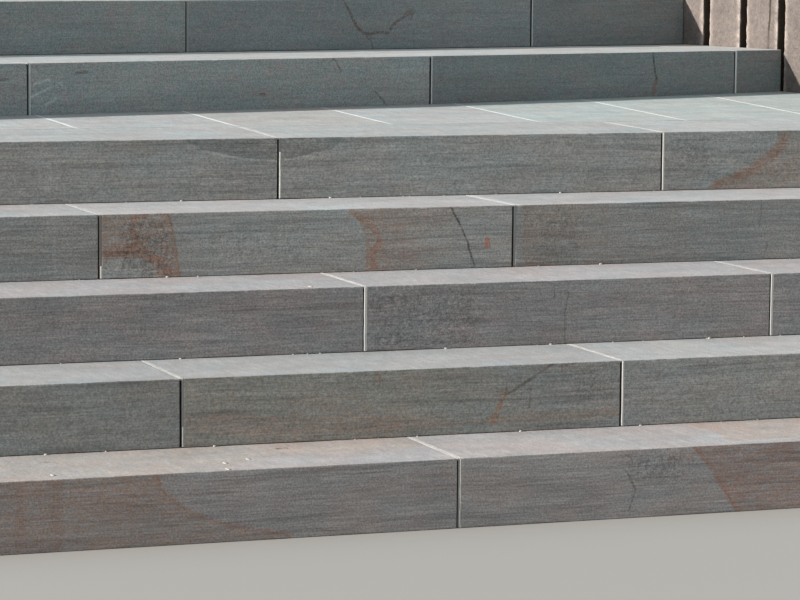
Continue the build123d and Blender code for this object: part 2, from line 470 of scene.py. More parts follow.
# Stains, the first on top: tone, strength, outline, and where it fades along the step
STAINS = {}
STAINS[1, "riser"] = [
    ((0.98, 0.82, 0.73), 1.0, [(200, -20), (200, 170), (900, 170), (900, 150), (914, 112), (946, 83),
        (999, 55), (1075, 30), (1183, 11), (1205, -20)]),
    (RED, 1.0, [(2102, 170), (2102, 144), (2144, 96), (2174, 50), (2206, 4), (2210, -20), (2800, -20),
        (2800, 170)], 2300, 2950),
]
STAINS[1, "tread"] = [
    (TAN, 0.9, [(300, -20), (991, -20), (991, 7), (1068, 49), (1167, 140), (1325, 159), (1482, 153),
        (1553, 188), (1553, 400), (300, 400)]),
    ((1.04, 0.9, 0.79), 0.9, [(2214, 400), (2236, 168), (2207, 35), (2385, 47), (2575, 50), (2575, 400)]),
]
STAINS[2, "riser"] = [
    ((1.13, 0.88, 0.72), 0.6, [(1048, 70), (1048, 30), (1220, 18), (1539, 16), (2062, 22), (2062, 46),
        (1823, 40), (1700, 30), (1539, 50), (1307, 56)]),
    (OLIVE, 1.0, [(1040, -20), (1040, 170), (2000, 170), (2000, -20)], 1500, 2000),
]
STAINS[4, "riser"] = [
    (RUST, 0.85, [(1033, 170), (1190, 170), (1192, 149), (1202, 114), (1211, 72), (1214, 42), (1221, 11),
        (1222, -10), (1172, -10), (1151, 32), (1122, 44), (1070, 48), (1033, 50)]),
    (RUST, 0.75, [(1634, 170), (1634, 147), (1665, 108), (1677, 75), (1673, 37), (1678, -10), (1950, -10),
        (1943, 39), (1932, 68), (1895, 146), (1890, 170)], 1700, 1970),
    (BROWN, 0.75, [(2080, -10), (2080, 170), (2400, 170), (2400, -10)], 2120, 2400),
    ((1.15, 0.62, 0.5), 1.0, [(1979, 46), (1981, 74), (1990, 80), (1996, 56), (1991, 44)]),
]
STAINS[5, "riser"] = [
    (SHADE, 1.0, [(1272, 170), (1556, 170), (1556, 94), (1461, 102), (1372, 121)]),
    (SHADE, 1.0, [(1560, 170), (1749, 170), (1705, 122), (1641, 107), (1560, 93)]),
    (BROWN, 0.9, [(2719, -10), (2719, 7), (2758, 29), (2823, 54), (2888, 94), (2911, 120), (2921, 170),
        (3500, 170), (3500, -10)], 2930, 3400),
]
STAINS[6, "riser"] = [
    (DARK, 1.0, [(1086, 101), (1086, 111), (1124, 114), (1124, 103)]),
    (DARK, 1.0, [(1318, 117), (1318, 127), (1360, 128), (1360, 118)]),
    (DARK, 1.0, [(1888, 48), (1888, 58), (1914, 56), (1914, 46)]),
]
# Veins, cracks, scratches and soft bands: tone, half the width, points
LINES = {}
LINES[1, "riser"] = [
    ((1.0, 0.82, 0.75), 5, [(895, 150), (914, 112), (946, 83), (999, 55), (1075, 30), (1183, 11)]),
    ((1.0, 0.88, 0.84), 16, [(686, 160), (690, 0)]),
    ((1.0, 0.89, 0.85), 13, [(616, 160), (611, 0)]),
    ((0.98, 0.88, 0.85), 7, [(2108, 144), (2150, 96), (2180, 50), (2212, 4)]),
    (DARK, 3, [(1934, 139), (1957, 135)]),
    (RED, 3, [(2043, 129), (2071, 126), (2095, 127)]),
    (DARK, 3, [(1944, 106), (1968, 61), (1950, 14)]),
]
LINES[1, "tread"] = [
    ((1.2, 1.17, 1.12), 7, [(2173, 24), (2280, 34), (2400, 48)]),
    (BLACK, 6, [(1228, 243), (1254, 243)]),
    (DARK, 6, [(706, 212), (732, 212)]),
]
LINES[2, "riser"] = [
    ((0.58, 0.5, 0.46), 4.2, [(1923, 154), (1901, 148), (1865, 127), (1834, 108), (1798, 87)]),
    ((1.12, 0.74, 0.58), 8, [(1785, 83), (1782, 79), (1775, 61), (1768, 44), (1761, 26)]),
    (RED, 6, [(1905, 155), (1930, 152)]),
    (DARK, 2, [(1849, 96), (1847, 74), (1845, 51)]),
    (RED, 6, [(1476, 156), (1493, 128)]),
]
LINES[3, "riser"] = [
    (DARK, 2.2, [(2070, 121), (2063, 89), (2061, 68), (2061, 21), (2064, -3)]),
    (DARK, 1.8, [(2032, 148), (2035, 111)]),
]
LINES[4, "riser"] = [
    (RED, 12, [(1034, 56), (1070, 64), (1111, 68), (1146, 58), (1178, 36), (1185, 17)]),
    (RED, 8, [(1108, 140), (1106, 107), (1122, 75)]),
    (RED, 3, [(1191, 149), (1201, 114), (1210, 72), (1213, 42), (1220, 0)]),
    (RED, 9, [(1642, 142), (1692, 107), (1713, 74), (1693, 38), (1698, 7)]),
    (BLACK, 3, [(1893, 148), (1906, 124), (1919, 102), (1937, 61), (1943, 39), (1956, 5)]),
    (RED, 1.6, [(1976, 110), (1984, 80)]),
    (DARK, 1.5, [(2719, 150), (2718, 111), (2713, 76)]),
    (DARK, 1.8, [(2738, 40), (2728, 5)]),
    ((1.08, 1.08, 1.1), 5, [(916, 140), (921, 0)]),
    (BROWN, 1.8, [(1299, 84), (1364, 111), (1418, 119)]),
]
LINES[5, "riser"] = [
    ((1.3, 1.3, 1.3), 3, [(1566, 92), (1602, 100), (1643, 106)]),
    (FAINT, 3, [(1372, 119), (1461, 100), (1553, 92)]),
    (RED, 15, [(2745, 12), (2795, 30), (2852, 52), (2905, 88), (2930, 115), (2940, 152)]),
]
LINES[6, "riser"] = [
    (CHALK, 4, [(1182, 58), (1227, 78), (1278, 98)]),
    (CHALK, 4, [(1194, 95), (1242, 107)]),
    (CHALK, 4, [(1227, 39), (1272, 61)]),
    (DARK, 3.5, [(2134, 149), (2147, 135), (2161, 112)]),
    (DARK, 3.5, [(2272, 57), (2296, 34), (2324, 5)]),
    (BLACK, 4, [(3276, 150), (3280, 120), (3285, 90), (3291, 70)]),
    ((1.08, 0.64, 0.54), 8, [(3292, 68), (3285, 48), (3279, 24)]),
]
LINES[7, "riser"] = [
    ((0.6, 0.46, 0.42), 5.5, [(2487, 154), (2492, 144), (2510, 118), (2525, 88), (2546, 61), (2568, 46),
        (2600, 48), (2633, 51), (2651, 45), (2669, 72), (2691, 87), (2712, 98), (2734, 107)]),
    ((0.8, 0.55, 0.5), 10, [(2716, 106), (2740, 112)]),
    (DARK, 3, [(2568, 46), (2590, 22), (2597, 4)]),
    (FAINT, 3, [(2282, 108), (2285, 87)]),
]
# Tooled places on risers: from and to along the step, from and to upwards, how deep
TOOLED = {
    1: [(1930, 2100, 60, 160, 1.0)],
    2: [(1940, 2070, 40, 160, 0.8)],
    3: [(1560, 1860, -20, 160, 1.0)],
    4: [(1050, 1220, -20, 160, 1.2), (1250, 1550, 10, 130, 0.6), (2090, 2250, -20, 160, 0.7)],
    5: [(2600, 2740, 30, 150, 1.0)],
}
TOOLED_RIM = 0.04
# How far past a line's ends it still has two sides, as a share of a run
PAST = 0.02
# How far from a line a vertex keeps its width; the width and the distance kept elsewhere
REACH, NO_WIDTH, PLAIN_WIDTH, NO_LINE = 0.014, 0.00001, 0.001, 1.0


def metres(run):
    """Points given in millimetres."""
    return [(x / 1000, y / 1000) for x, y in run]


def from_line(points, line):
    """How far each point is from a line of runs, and on which side of it."""
    line = np.array(line, float)
    start, run = line[:-1], np.diff(line, axis=0)
    share = ((points[:, None] - start) * run).sum(-1) / (run * run).sum(-1)
    gap = points[:, None] - (start + np.clip(share, 0, 1)[..., None] * run)
    far = np.linalg.norm(gap, axis=-1)
    nearest = far.argmin(axis=1)
    rows = np.arange(len(points))
    side = run[nearest, 0] * gap[rows, nearest, 1] - run[nearest, 1] * gap[rows, nearest, 0]
    along = share[rows, nearest]
    past = ((nearest == 0) & (along < -PAST)) | ((nearest == len(run) - 1) & (along > 1 + PAST))
    return far[rows, nearest], np.where((side < 0) & ~past, -1.0, 1.0)


def inside(points, outline):
    """Whether each point lies within an outline."""
    x, y = points.T
    within = np.zeros(len(points), bool)
    for (x1, y1), (x2, y2) in zip(outline, outline[1:] + outline[:1]):
        if y1 != y2:
            crossing = (y1 > y) != (y2 > y)
            within ^= crossing & (x < (x2 - x1) * (y - y1) / (y2 - y1) + x1)
    return within


def listed(marks, step, places):
    """A step's marks, with where each vertex lies and whether on their face."""
    for face, (place, here) in places.items():
        for row in marks.get((step, face), ()):
            yield place, here, row


def mark_stains(piece, step, places):
    """Keep how deep each vertex lies in a stain, and the stain's strength and tone."""
    count = len(piece.data.vertices)
    stain, strength, tones = np.full(count, -1.0), np.zeros(count), np.ones((count, 3))
    for place, here, (tone, amount, outline, *fade) in listed(STAINS, step, places):
        outline = metres(outline)
        far = from_line(place, outline + outline[:1])[0]
        far = np.where(inside(place, outline), far, -far)
        nearer = here & (far > stain) & (stain < 0)
        level = np.full(count, amount)
        if fade:
            start, end = (limit / 1000 for limit in fade)
            level = amount * np.clip((end - place[:, 0]) / (end - start), 0, 1)
        stain[nearer], strength[nearer], tones[nearer] = far[nearer], level[nearer], tone
    paint(piece, "stain", stain)
    paint(piece, "stain_strength", strength)
    paint(piece, "stain_tone", tones)


def mark_lines(piece, step, places):
    """Keep how far each vertex is from a line, and the line's width and tone."""
    count = len(piece.data.vertices)
    line, width, tones = np.full(count, NO_LINE), np.full(count, PLAIN_WIDTH), np.ones((count, 3))
    for place, here, (tone, half_width, run) in listed(LINES, step, places):
        half = half_width / 1000
        far, side = from_line(place, metres(run))
        nearer = here & (far < np.abs(line))
        line[nearer] = (far * side)[nearer]
        width[nearer] = np.where(far < REACH + 1.5 * half, half, NO_WIDTH)[nearer]
        tones[nearer] = tone
    paint(piece, "line", line)
    paint(piece, "line_width", width)
    paint(piece, "line_tone", tones)


def mark_tooling(piece, step, riser):
    """Keep how deeply the riser is tooled at each vertex."""
    depth = np.zeros(len(riser))
    for *limits, amount in TOOLED.get(step, ()):
        start, end, foot, top = np.array(limits) / 1000
        along, up = riser.T
        within = np.minimum.reduce([along - start, end - along, up - foot, top - up])
        depth = np.maximum(depth, amount * np.clip(within / TOOLED_RIM, 0, 1))
    paint(piece, "tooled", depth)


def mark(piece, step, points, facing_up):
    """Keep the step's marks at each vertex, for the material."""
    riser = np.stack([points[:, 0], points[:, 2] - (step - 1) * RISE], axis=1)
    tread = np.stack([points[:, 0], points[:, 1] - flight_of(step)[1]], axis=1)
    places = {"riser": (riser, ~facing_up), "tread": (tread, facing_up)}
    mark_stains(piece, step, places)
    mark_lines(piece, step, places)
    mark_tooling(piece, step, riser)


# Blocks of the steps: the stones they are cut from
WARM, PLAIN = np.array([0.31, 0.285, 0.278]), np.array([0.3, 0.297, 0.283])
# The darker teal is painted shade, for the blocks of steps 6 and 7 nearest the palisade
TEAL, TEAL_IN_PAINTED_SHADE = np.array([0.277, 0.3, 0.295]), np.array([0.221, 0.245, 0.246])
STEP_TONES = [WARM, PLAIN, WARM, WARM, PLAIN, TEAL, TEAL]
# Blocks of another stone, or lighter or darker than their step's; on steps 6 and 7 the darker teal and the
# tones falling towards the palisade are painted shade
BLOCK_TONES = {
    (1, 2): (WARM, 1.03), (1, 3): (WARM, 1.11), (2, 1): (PLAIN, 0.9), (2, 3): (PLAIN, 1.1),
    (3, 2): (WARM, 0.96), (3, 4): (WARM, 1.02),
    (4, 1): (PLAIN, 0.98), (4, 2): (PLAIN, 1.18), (4, 3): (PLAIN, 1.0),
    (5, 2): (PLAIN, 1.1), (5, 3): (PLAIN, 1.16), (5, 4): (PLAIN, 1.14),
    (6, 1): (TEAL, 1.11), (6, 2): (TEAL, 1.17), (6, 3): (TEAL_IN_PAINTED_SHADE, 1.03), (6, 4): (TEAL_IN_PAINTED_SHADE, 0.95),
    (7, 2): (TEAL, 0.96), (7, 3): (TEAL_IN_PAINTED_SHADE, 1.06), (7, 4): (TEAL_IN_PAINTED_SHADE, 0.92),
}
TREAD_TONES = [
    (0.465, 0.43, 0.43), (0.425, 0.42, 0.42), (0.44, 0.415, 0.42), (0.455, 0.445, 0.45),
    (0.445, 0.45, 0.45), (0.5, 0.5, 0.495), (0.5, 0.5, 0.495),
]
TREAD_LIGHTNESS = {(2, 3): 1.09, (3, 3): 1.03, (4, 2): 1.07, (4, 3): 1.03, (5, 4): 1.07}
# How strong saw lines and mottling are, on the lower and the upper flight
SAWN, MOTTLED = (1.0, 0.45), (0.25, 1.0)
# The blocks in the photograph have the fine grid
SEEN = {1: (2, 3), 2: (1, 2, 3), 3: (2, 3, 4), 4: (1, 2, 3), 5: (2, 3, 4), 6: (1, 2, 3, 4), 7: (2, 3, 4)}
FINE_GRID, COARSE_GRID = (0.012, 0.014, 0.0042), (0.03, 0.03, 0.01)
# Radius of the arrises, of the back one and of the deepest chip; how far the back one reaches
ARRIS, BACK_ARRIS, DEEPEST, UNWORN = 0.0028, 0.0003, 0.008, 0.012
# Chips in the upper arris: number to the metre, width, depth and reach downwards
CHIPS, CHIP_WIDTH, CHIP_DEPTH, CHIP_REACH = 6, (0.003, 0.01), (0.3, 1.4), 0.02
# Unevenness of the faces: depth, and cells to the metre
UNEVEN = [(0.0002, (5, 5, 140)), (0.0007, (9, 9, 9)), (0.0002, (50, 50, 70))]


def ends_of(solid):
    """Where a block's ends stand, and how high its top is, at its front and back."""
    low, high = solid.min(axis=0), solid.max(axis=0)
    near = solid[solid[:, 1] < low[1] + 0.0005]
    front_top = solid[solid[:, 1] < low[1] + 0.005, 2].max()
    far = solid[solid[:, 1] > high[1] - 0.0005]
    return near[:, 0].min(), near[:, 0].max(), far[:, 0].min(), far[:, 0].max(), front_top, far[:, 2].max()


def fitted(points, size, solid):
    """A box's points moved to a block's slanting ends and falling top."""
    low, high = solid.min(axis=0), solid.max(axis=0)
    near_left, near_right, far_left, far_right, near_top, far_top = ends_of(solid)
    across, back, up = (points / size).T
    left = near_left + (far_left - near_left) * back
    right = near_right + (far_right - near_right) * back
    top = near_top + (far_top - near_top) * back
    x = left + (right - left) * across
    return np.stack([x, low[1] + points[:, 1], low[2] + (top - low[2]) * up], axis=1)


def block_wear(size, seed):
    """The radius of a block's arrises at its points, with chips in the upper one."""
    draw = np.random.default_rng(seed)
    chips = []
    for _ in range(int(CHIPS * size[0])):
        chips.append((draw.uniform(0, size[0]), draw.uniform(*CHIP_WIDTH), draw.uniform(*CHIP_DEPTH)))

    def wear(points):
        radius = ARRIS * (0.7 + 0.4 * noise(points * 30.0, seed))
        near_top = np.exp(-(((RISE - points[:, 2]) / CHIP_REACH) ** 2))
        for place, width, depth in chips:
            radius += ARRIS * depth * near_top * np.exp(-(((points[:, 0] - place) / width) ** 2))
        behind = points[:, 1] > size[1] - UNWORN
        return np.where(behind, BACK_ARRIS, np.minimum(radius, DEEPEST))

    return wear


def make_block(step, number):
    """A block over its CAD solid, its front and tread worn."""
    name = f"step_{step}_block_{number}"
    flight = flight_of(step)[0]
    solid = node_points(name, flight)
    near_left, near_right = ends_of(solid)[:2]
    depth = solid[:, 1].max() - solid[:, 1].min()
    size = np.array([near_right - near_left, depth, RISE])
    seed = 10 * step + number
    grid = FINE_GRID if number in SEEN[step] else COARSE_GRID
    plain = {"back", "bottom", "right"} | ({"left"} if number > 1 else set())
    points, out, faces, smooth = rounded_box(size, grid, ARRIS, plain, block_wear(size, seed))
    relief = 0.0
    for more, (deep, cells) in enumerate(UNEVEN):
        relief += deep * noise(points * np.array(cells), seed + more)
    worn = np.clip(-out[:, 1], 0, 1) + np.clip(out[:, 2], 0, 1)
    if number == 1:
        worn += np.clip(-out[:, 0], 0, 1)
    points = fitted(points - out * (relief * np.clip(worn, 0, 1))[:, None], size, solid)
    piece = make_piece(f"{name}_stone", to_frame(points, flight), faces, smooth, STONE, [name])
    stone, lightness = BLOCK_TONES.get((step, number), (STEP_TONES[step - 1], 1.0))
    tread_tone = np.array(TREAD_TONES[step - 1]) * TREAD_LIGHTNESS.get((step, number), 1.0)
    paint_all(piece, {"tone": tuple(stone * lightness), "tread_tone": tuple(tread_tone)})
    paint_all(piece, {"sawn": SAWN[flight is UPPER], "mottled": MOTTLED[flight is UPPER]})
    mark(piece, step, points, out[:, 2] > 0.6)


for name in sorted(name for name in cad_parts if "_block_" in name):
    step, number = (int(part) for part in name.split("_")[1::2])
    make_block(step, number)

# How deep the landing has settled, along the upper flight
SETTLED = [
    (0.0, 0.0), (1.1, -0.0022), (1.75, 0.0004), (2.4, 0.003), (2.9, 0.0027), (3.45, 0.0005), (3.8, -0.0018),
]
SLAB_TONES = {"pale": (0.478, 0.48, 0.482), "tan": (0.47, 0.455, 0.44), "green": (0.465, 0.5, 0.49)}
SLAB_ORDER = "pale pale pale pale tan pale green green green green pale".split()
SLAB_SIDES = 0.55
SLAB_ARRIS, LANDING_GRID = 0.0015, 0.04
# How sunk the joints are, how uneven all is, and its reach over the gap in front
JOINTS_SUNK, LANDING_UNEVEN, FRONT_LAP = 0.0004, 0.0006, 0.0018
# Painted shade on the landing along the foot of riser 6, deepening its cast shadow: where it fades, and how
# dark it is
RISER6_SHADE_BAND, PAINTED_SHADE_LEVEL = (0.105, 0.122), 0.7
# A dark spot on a slab, and half its width
SPOT, SPOT_WIDTH = [(3.152, 1.9), (3.168, 1.915)], 0.006
slab_front = min(node_points("landing_slabs", LOWER)[:, 1])


def settle(points):
    """How far the landing has sunk, growing from its front to riser 6."""
    here = to_flight(points, UPPER)
    before = to_flight(points, LOWER)[:, 1] - slab_front
    share = np.clip(before / np.maximum(before - here[:, 1], 0.05), 0, 1)
    along, depth = zip(*SETTLED)
    return share * np.interp(here[:, 0], along, depth)


def riser6_painted_shade(points):
    """How much the painted shade at the foot of riser 6 darkens the landing."""
    return np.interp(-to_flight(points, UPPER)[:, 1], RISER6_SHADE_BAND, (PAINTED_SHADE_LEVEL, 1.0))


def cut(mesh, place, facing):
    """A line cut through all the faces of a mesh."""
    everything = mesh.verts[:] + mesh.edges[:] + mesh.faces[:]
    bmesh.ops.bisect_plane(mesh, geom=everything, plane_co=place, plane_no=facing)


def upper_rims(mesh):
    """The edges around the slabs' tops, but for those at the front."""
    rims = []
    for edge in mesh.edges:
        ups = [face.normal.z > 0.9 for face in edge.link_faces]
        at_front = all(vertex.co.y - LOWER[0][1] < slab_front + 0.001 for vertex in edge.verts)
        if any(ups) and not all(ups) and not at_front:
            rims.append(edge)
    return rims


def make_landing(node, material, arris, sunk):
    """A piece of the landing in a grid, its upper arrises eased, and settled."""
    mesh = joined_mesh(node)
    mesh.normal_update()
    if arris:
        bmesh.ops.bevel(mesh, geom=upper_rims(mesh), offset=arris, segments=2, affect="EDGES", profile=0.6)
    low = np.min([v.co for v in mesh.verts], axis=0)
    high = np.max([v.co for v in mesh.verts], axis=0)
    for axis, facing in enumerate(np.eye(3)[:2]):
        for place in np.arange(low[axis] + LANDING_GRID, high[axis], LANDING_GRID):
            cut(mesh, facing * place, facing)
    # Cuts at the edges of the painted shade before riser 6
    for depth in RISER6_SHADE_BAND:
        cut(mesh, to_frame([0.0, -depth, 0.0], UPPER), turned(np.array([0.0, 1.0, 0.0]), TURN))
    data = bpy.data.meshes.new(f"{node}_set")
    mesh.to_mesh(data)
    mesh.free()
    points = np.array([v.co for v in data.vertices])
    front = np.abs(to_flight(points, LOWER)[:, 1] - slab_front) < 0.0005
    points[:, 2] -= settle(points) + sunk + LANDING_UNEVEN * noise(points * 8.0, 77)
    points[front, 1] -= FRONT_LAP
    data.vertices.foreach_set("co", points.ravel())
    data.update()
    return show_piece(f"{node}_set", data, material, [node]), points


def slab_tones(points):
    """The slabs' tone at each point, darker in the painted shade before riser 6."""
    tones = np.tile(SLAB_TONES["pale"], (len(points), 1))
    for group, kind in zip(solids("landing_slabs", LOWER), SLAB_ORDER):
        outline = group[group[:, 2] > group[:, 2].max() - 0.03]
        middle = outline[:, :2].mean(axis=0)
        angle = np.arctan2(outline[:, 1] - middle[1], outline[:, 0] - middle[0])
        ring = middle + (outline[np.argsort(angle), :2] - middle) * 1.02
        here = inside(to_flight(points, LOWER)[:, :2], [tuple(place) for place in ring])
        tones[here] = SLAB_TONES[kind]
    return tones * riser6_painted_shade(points)[:, None]


slabs, slab_points = make_landing("landing_slabs", SLAB, SLAB_ARRIS, 0.0)
tones = slab_tones(slab_points)
paint(slabs, "tone", tones * SLAB_SIDES)
paint(slabs, "tread_tone", tones)
paint_all(slabs, {"stain": -1.0, "stain_strength": 0.0, "stain_tone": (1.0, 1.0, 1.0)})
paint_all(slabs, {"sawn": 1.0, "mottled": 0.0, "tooled": 0.0, "line_width": SPOT_WIDTH, "line_tone": BLACK})
far, side = from_line(to_flight(slab_points, LOWER)[:, :2], SPOT)
paint(slabs, "line", far * side)

# Width of the blocks' joints, where they are filled behind the riser, and a bead's lap at its right
JOINT, SETBACK, LAP = 0.008, 0.025, 0.0012
# A bead's thickness, and how far the dark filling reaches into it and stays aside
SKIN, INTO_SKIN, ASIDE = 0.0035, 0.001, 0.0005
# The line on the tread: its start, its half that is like the tread, thickness and depth
LINE_FRONT, LINE_HALF, LINE_THICK, LINE_SUNK = 0.0012, 0.0036, 0.005, 0.0003
# How ragged the line's top and white sides are; how far beads stop short at both ends
RAGGED_TOP, RAGGED_SIDE = 0.0002, 0.0008
BEAD_FOOT, BEAD_HEAD = 0.001, 0.002
BEAD_ARRIS, BEAD_ROUND = 0.0012, 0.35
BEAD_GRID, DEEP_GRID = (0.01, 0.03, 0.01), (0.01, 0.03, 0.06)
# The "deep" filling far back in the joints is near black: painted shade of the open gap
MORTAR_TONES = {
    "white": (0.6, 0.58, 0.55), "chalk": (0.74, 0.75, 0.74), "fresh": (0.9, 0.9, 0.9),
    "crumb": (0.52, 0.5, 0.44), "faint": (0.42, 0.42, 0.41), "trodden": (0.42, 0.41, 0.405),
    "stony": (0.27, 0.27, 0.26), "rusty": (0.24, 0.2, 0.18), "deep": (0.12, 0.12, 0.115),
}
# The tone of a joint's line on the tread, and its beads: tone, width, relief (mm), and height if low
JOINTS = {
    (1, 1): ("white", [("stony", 5.8, -0.9), ("white", 2.2, -0.4)]),
    (2, 0): ("white", [("stony", 4, -0.9), ("faint", 2.6, 0.2, 0.045)]),
    (2, 1): ("white", [("white", 4, 0.8)]),
    (3, 1): ("white", [("white", 6, 0.8)]),
    (3, 2): ("faint", [("white", 5.4, 0.8)]),
    (4, 0): ("faint", [("rusty", 5.6, -0.6), ("white", 3, 0.4, 0.03)]),
    (4, 1): ("white", [("stony", 4.2, -0.9)]),
    (5, 1): ("faint", [("stony", 4.5, -0.6), ("white", 3, 0.6, 0.115)]),
    (5, 2): ("white", [("white", 4.2, 0.8)]),
    (6, 0): ("faint", [("stony", 4.6, -0.9), ("chalk", 1.8, 0.2)]),
    (6, 1): ("faint", [("chalk", 2.4, 0.2)]),
    (6, 2): ("faint", [("chalk", 4.2, 0.4)]),
    (7, 1): ("faint", [("stony", 4.6, -0.9), ("faint", 1.2, 0.2)]),
    (7, 2): ("faint", [("chalk", 1.4, 0.2)]),
}
PLAIN_JOINT = ("white", [("white", 3, -0.4)])


def joint_boxes(step, index, depth):
    """The boxes that fill a joint: two corners, tone, and how ragged the top is."""
    line, beads = JOINTS.get((step, index), PLAIN_JOINT)
    top, under = RISE - LINE_SUNK, RISE - LINE_THICK
    boxes = [
        ((0, LINE_FRONT, under), (LINE_HALF, depth, top), "trodden", RAGGED_TOP),
        ((LINE_HALF, LINE_FRONT, under), (JOINT, depth, top), line, RAGGED_TOP),
        # Near black filling set back behind the riser: painted shade of the open joint
        ((0, SETBACK, BEAD_FOOT), (JOINT, depth, under), "deep", 0.0),
    ]
    for tone, width, proud, *high in beads:
        head = high[0] if high else RISE - BEAD_HEAD
        left, face = JOINT - width / 1000, -proud / 1000
        boxes.append(((left, face, BEAD_FOOT), (JOINT + LAP, SKIN, head), tone, 0.0))
        # Painted shade filling behind the bead
        boxes.append(((left + ASIDE, SKIN - INTO_SKIN, BEAD_FOOT), (JOINT, SETBACK, head), "deep", 0.0))
    return boxes


def make_joint(made, step, index, group):
    """One upright joint of a flight, over its CAD solid."""
    flight, front = flight_of(step)
    foot = (step - 1) * RISE
    near = group[group[:, 1] < group[:, 1].min() + 0.001]
    far = group[group[:, 1] > group[:, 1].max() - 0.001]
    left = near[:, 0].min()
    depth = far[:, 1].max() - front
    lean = (far[:, 0].mean() - near[:, 0].mean()) / (depth - 0.002)
    fall = (far[:, 2].max() - near[:, 2].max()) / (depth - 0.002)
    for start, end, tone, rough in joint_boxes(step, index, depth):
        size = np.array(end) - np.array(start)
        grid = DEEP_GRID if tone == "deep" else BEAD_GRID
        points, _, faces, smooth = rounded_box(size, grid, min(BEAD_ARRIS, BEAD_ROUND * size[0]))
        points += start
        ragged = noise((points + [left, front, foot]) * 60.0, 20 * step + index) - 0.5
        points[:, 0] += RAGGED_SIDE * ragged * (tone == "white")
        points[:, 2] -= 2 * rough * np.abs(ragged)
        points[:, 0] += left + lean * points[:, 1]
        points[:, 2] += foot + fall * np.maximum(points[:, 1], 0) * (points[:, 2] > 0.1)
        points[:, 1] += front
        made.add(to_frame(points, flight), faces, smooth, MORTAR_TONES[tone])


def make_mortar(node, steps):
    """The mortar of one flight's upright joints."""
    made = Build()
    groups = solids(node, flight_of(steps[0])[0])
    for step in steps:
        here = [group for group in groups if abs(group[:, 2].min() - (step - 1) * RISE) < 0.03]
        for index, group in enumerate(sorted(here, key=lambda group: group[:, 0].min())):
            make_joint(made, step, index, group)
    made.piece(f"{node}_mortar", MORTAR, "mortar", [node])


# The slabs' joints are greyer within this distance of the front
FAN_FADE, FAN_GREY = 0.12, 0.62
fan, fan_points = make_landing("landing_joints", MORTAR, 0.0, JOINTS_SUNK)
behind = to_flight(fan_points, LOWER)[:, 1] - slab_front
fade = FAN_GREY + (1 - FAN_GREY) * np.clip(behind / FAN_FADE, 0, 1)
# The slabs' joints get the same painted shade before riser 6
paint(fan, "tone", np.array(MORTAR_TONES["fresh"]) * (fade * riser6_painted_shade(fan_points))[:, None])
make_mortar("lower_flight_joints", range(1, 6))
make_mortar("upper_flight_joints", [6, 7])

# Crumbs at the foot of each riser: those in the photograph, and smaller ones strewn there
CRUMBS = {
    2: [0.741, 1.113, 1.824, 2.116], 3: [1.128, 1.762, 2.024, 2.43], 4: [1.187, 2.284],
    5: [1.312, 1.693, 2.307], 6: [1.395, 2.226, 3.282], 7: [1.825],
}
CRUMB_RADIUS = (0.0024, 0.0032)
STREWN, STREWN_RADIUS, STREWN_ALONG = 14, (0.0008, 0.0018), (0.1, 3.5)
LANDING_RISE = 0.0105
# Crumbs trodden flat: step, along and back over its tread; and their half size
FLAT_CRUMBS = [(1, 1.07, 0.089), (1, 1.131, 0.123), (1, 1.053, 0.014), (1, 0.692, 0.05), (3, 1.444, 0.03)]
FLAT_SIZE = (0.0045, 0.009, 0.0011)


def make_crumbs():
    """Small lumps of dropped mortar."""
    made = Build()
    draw = np.random.default_rng(5)
    ball = bmesh.new()
    bmesh.ops.create_icosphere(ball, subdivisions=2, radius=1.0)
    directions = np.array([v.co for v in ball.verts])
    faces = [[v.index for v in face.verts] for face in ball.faces]
    ball.free()

    def add(uneven, size, place, flight):
        points = directions * uneven[:, None] * size + place
        made.add(to_frame(points, flight), faces, [True] * len(faces), MORTAR_TONES["crumb"])

    for step, places in CRUMBS.items():
        flight, front = flight_of(step)
        level = (step - 1) * RISE + (LANDING_RISE if step == 6 else 0.0)
        lumps = [(place, draw.uniform(*CRUMB_RADIUS)) for place in places]
        lumps += [(draw.uniform(*STREWN_ALONG), draw.uniform(*STREWN_RADIUS)) for _ in range(STREWN)]
        for number, (along, radius) in enumerate(lumps):
            uneven = 0.75 + 0.5 * noise(directions * 1.7 + number, step)
            place = [along, front - radius * draw.uniform(0.9, 2.5), level + 0.3 * radius]
            add(uneven, radius * np.array([1.3, 0.9, 0.7]), place, flight)
    for number, (step, along, back) in enumerate(FLAT_CRUMBS):
        flight, front = flight_of(step)
        uneven = 0.7 + 0.6 * noise(directions * 1.7 + number, 3)
        add(uneven, np.array(FLAT_SIZE), [along, front + back, step * RISE], flight)
    made.piece("mortar_crumbs", MORTAR, "mortar")


make_crumbs()

# Palisade stones: tone, what the painted shade in the gaps leaves of it, and its spread by stone
WALL_TONE = np.array([0.146, 0.124, 0.113])
GAP_PAINTED_SHADE = np.array([0.36, 0.27, 0.15])
WALL_SPREAD = (0.94, 1.06)
WALL_MARGIN = np.array([0.0005, 0.0005, 0.0])
WALL_GRID, WALL_ARRIS = (0.03, 0.012, 0.01), 0.005
# Their arrises' least radius and how much rougher they get, and their faces' relief
SHARPEST, ROUGHEST, WALL_RELIEF = 0.0015, 0.011, 0.0008
# Painted shade in the gaps, tinted brown: its start and growth, its end before the back and its fading there
GAP_SHADE_START, GAP_SHADE_FULL, GAP_SHADE_BACK, GAP_SHADE_FADE = 0.002, 0.008, 0.03, 0.02
# How far from an arris a face gets a painted highlight, and how strong it is
HIGHLIGHT_REACH, ARRIS_HIGHLIGHT = 0.011, 1.5
# A crack down one stone, back and up, half its width and its tone
CRACK = [(0.06, 1.1), (0.06, 1.026), (0.063, 0.989), (0.067, 0.952), (0.066, 0.9)]
CRACK_WIDTH, CRACK_TONE = 0.005, (0.26, 0.23, 0.13)


